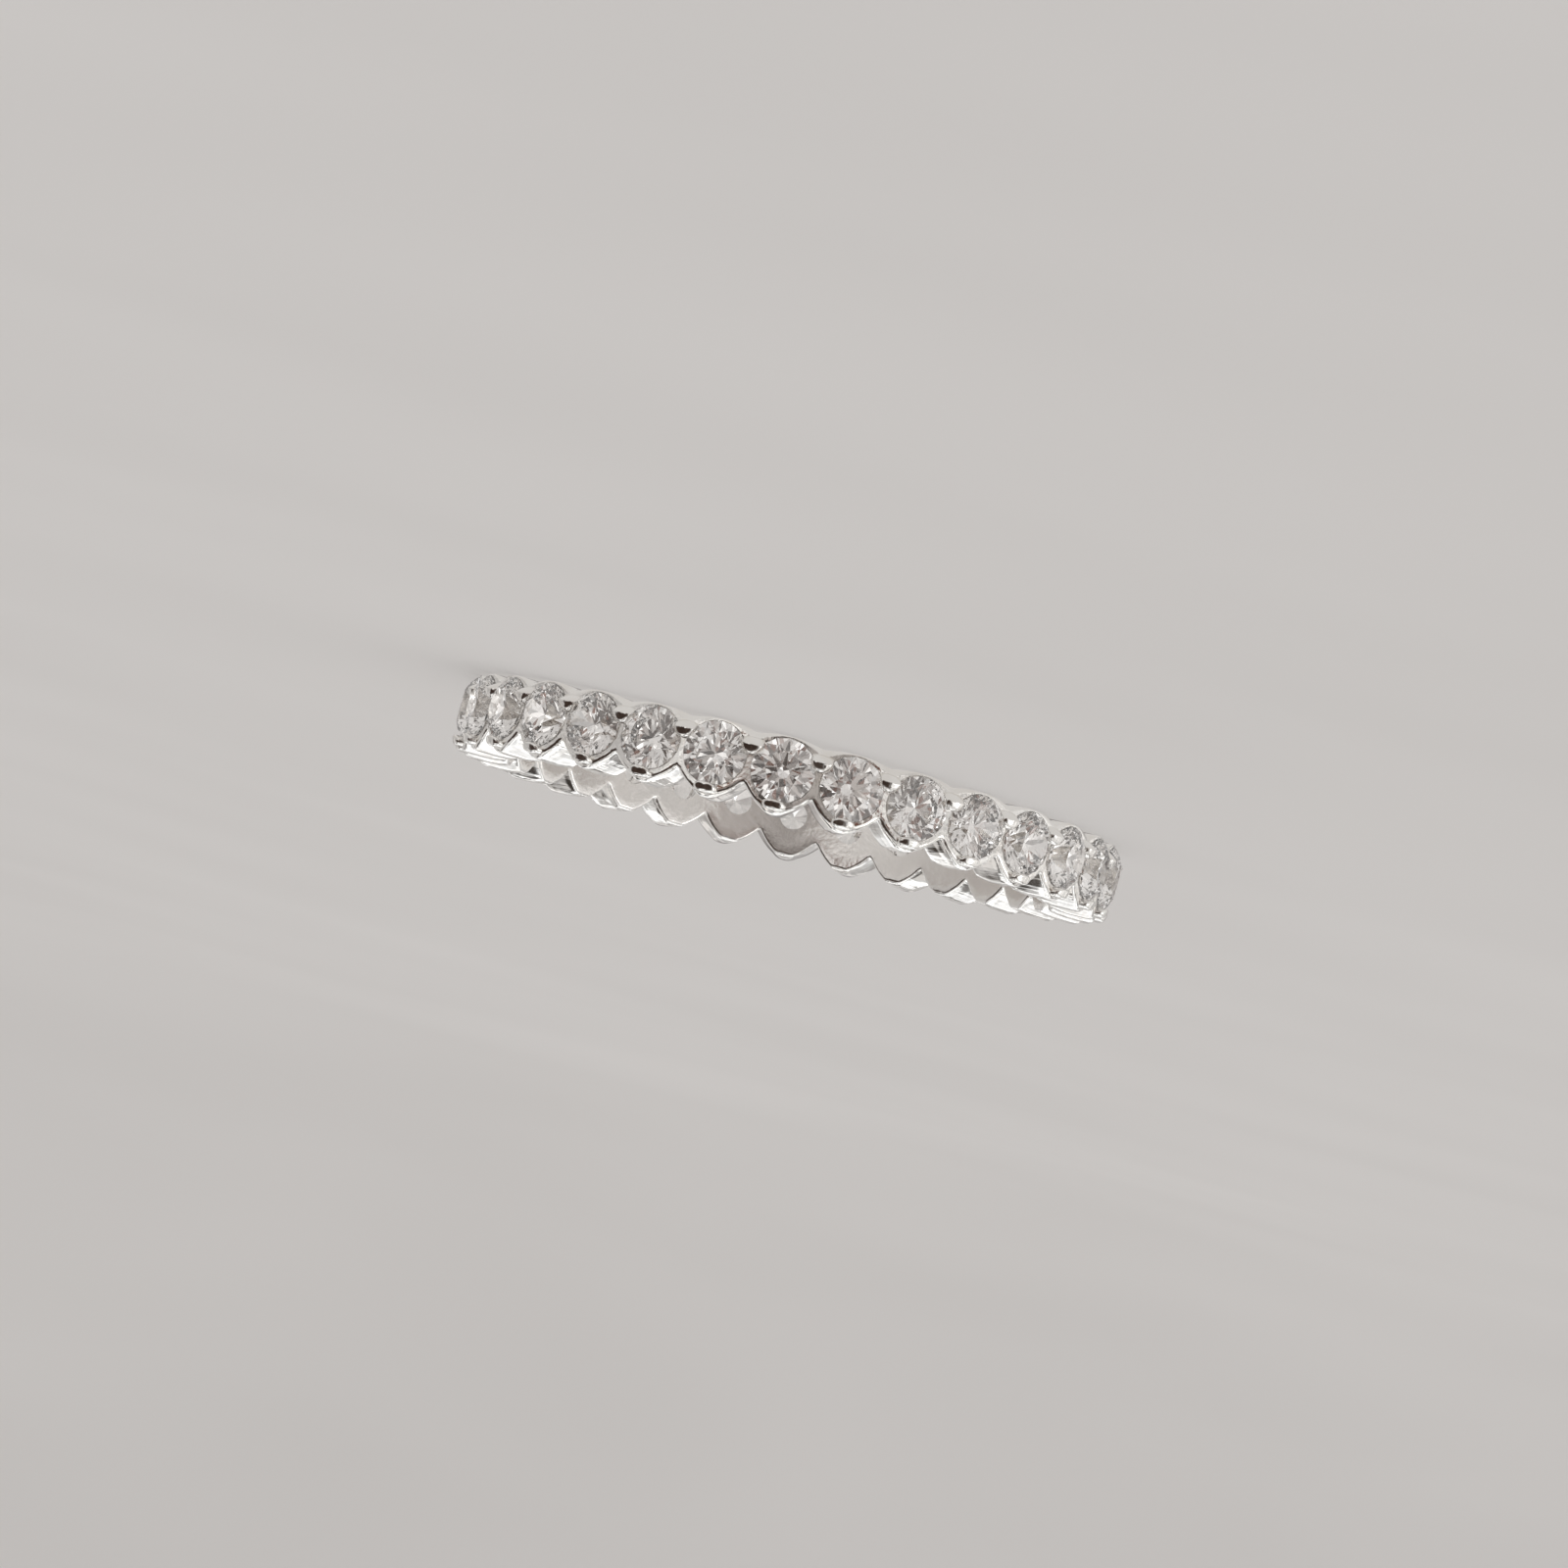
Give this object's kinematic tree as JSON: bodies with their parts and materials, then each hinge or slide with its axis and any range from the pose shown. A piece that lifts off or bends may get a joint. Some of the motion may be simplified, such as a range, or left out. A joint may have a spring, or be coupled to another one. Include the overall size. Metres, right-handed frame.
{
  "type": "eternity ring",
  "caption": "Full eternity ring: a polished white metal band with small round brilliant stones all the way round, held by shared claws over a scalloped edge.",
  "frame": {"origin": "on the ring's axis, in the plane of the small flats on the edge with the shared claws, which the ring rests on when it lies on its side", "axes": "+Z along the ring's axis, from the edge with the shared claws to the edge with the lobes; -Y towards the first stone"},
  "size_m": [0.021, 0.021, 0.0024],
  "materials": {
    "silver": "mirror polish",
    "stone": "clear and colourless, flat polished facets"
  },
  "bodies": {
    "root": {"band": "silver", "stone_01": "stone", "stone_02": "stone", "stone_03": "stone", "stone_04": "stone", "stone_05": "stone", "stone_06": "stone", "stone_07": "stone", "stone_08": "stone", "stone_09": "stone", "stone_10": "stone", "stone_11": "stone", "stone_12": "stone", "stone_13": "stone", "stone_14": "stone", "stone_15": "stone", "stone_16": "stone", "stone_17": "stone", "stone_18": "stone", "stone_19": "stone", "stone_20": "stone", "stone_21": "stone", "stone_22": "stone", "stone_23": "stone", "stone_24": "stone", "stone_25": "stone", "stone_26": "stone", "stone_27": "stone", "stone_28": "stone", "stone_29": "stone", "stone_30": "stone"}
  },
  "joints": []
}
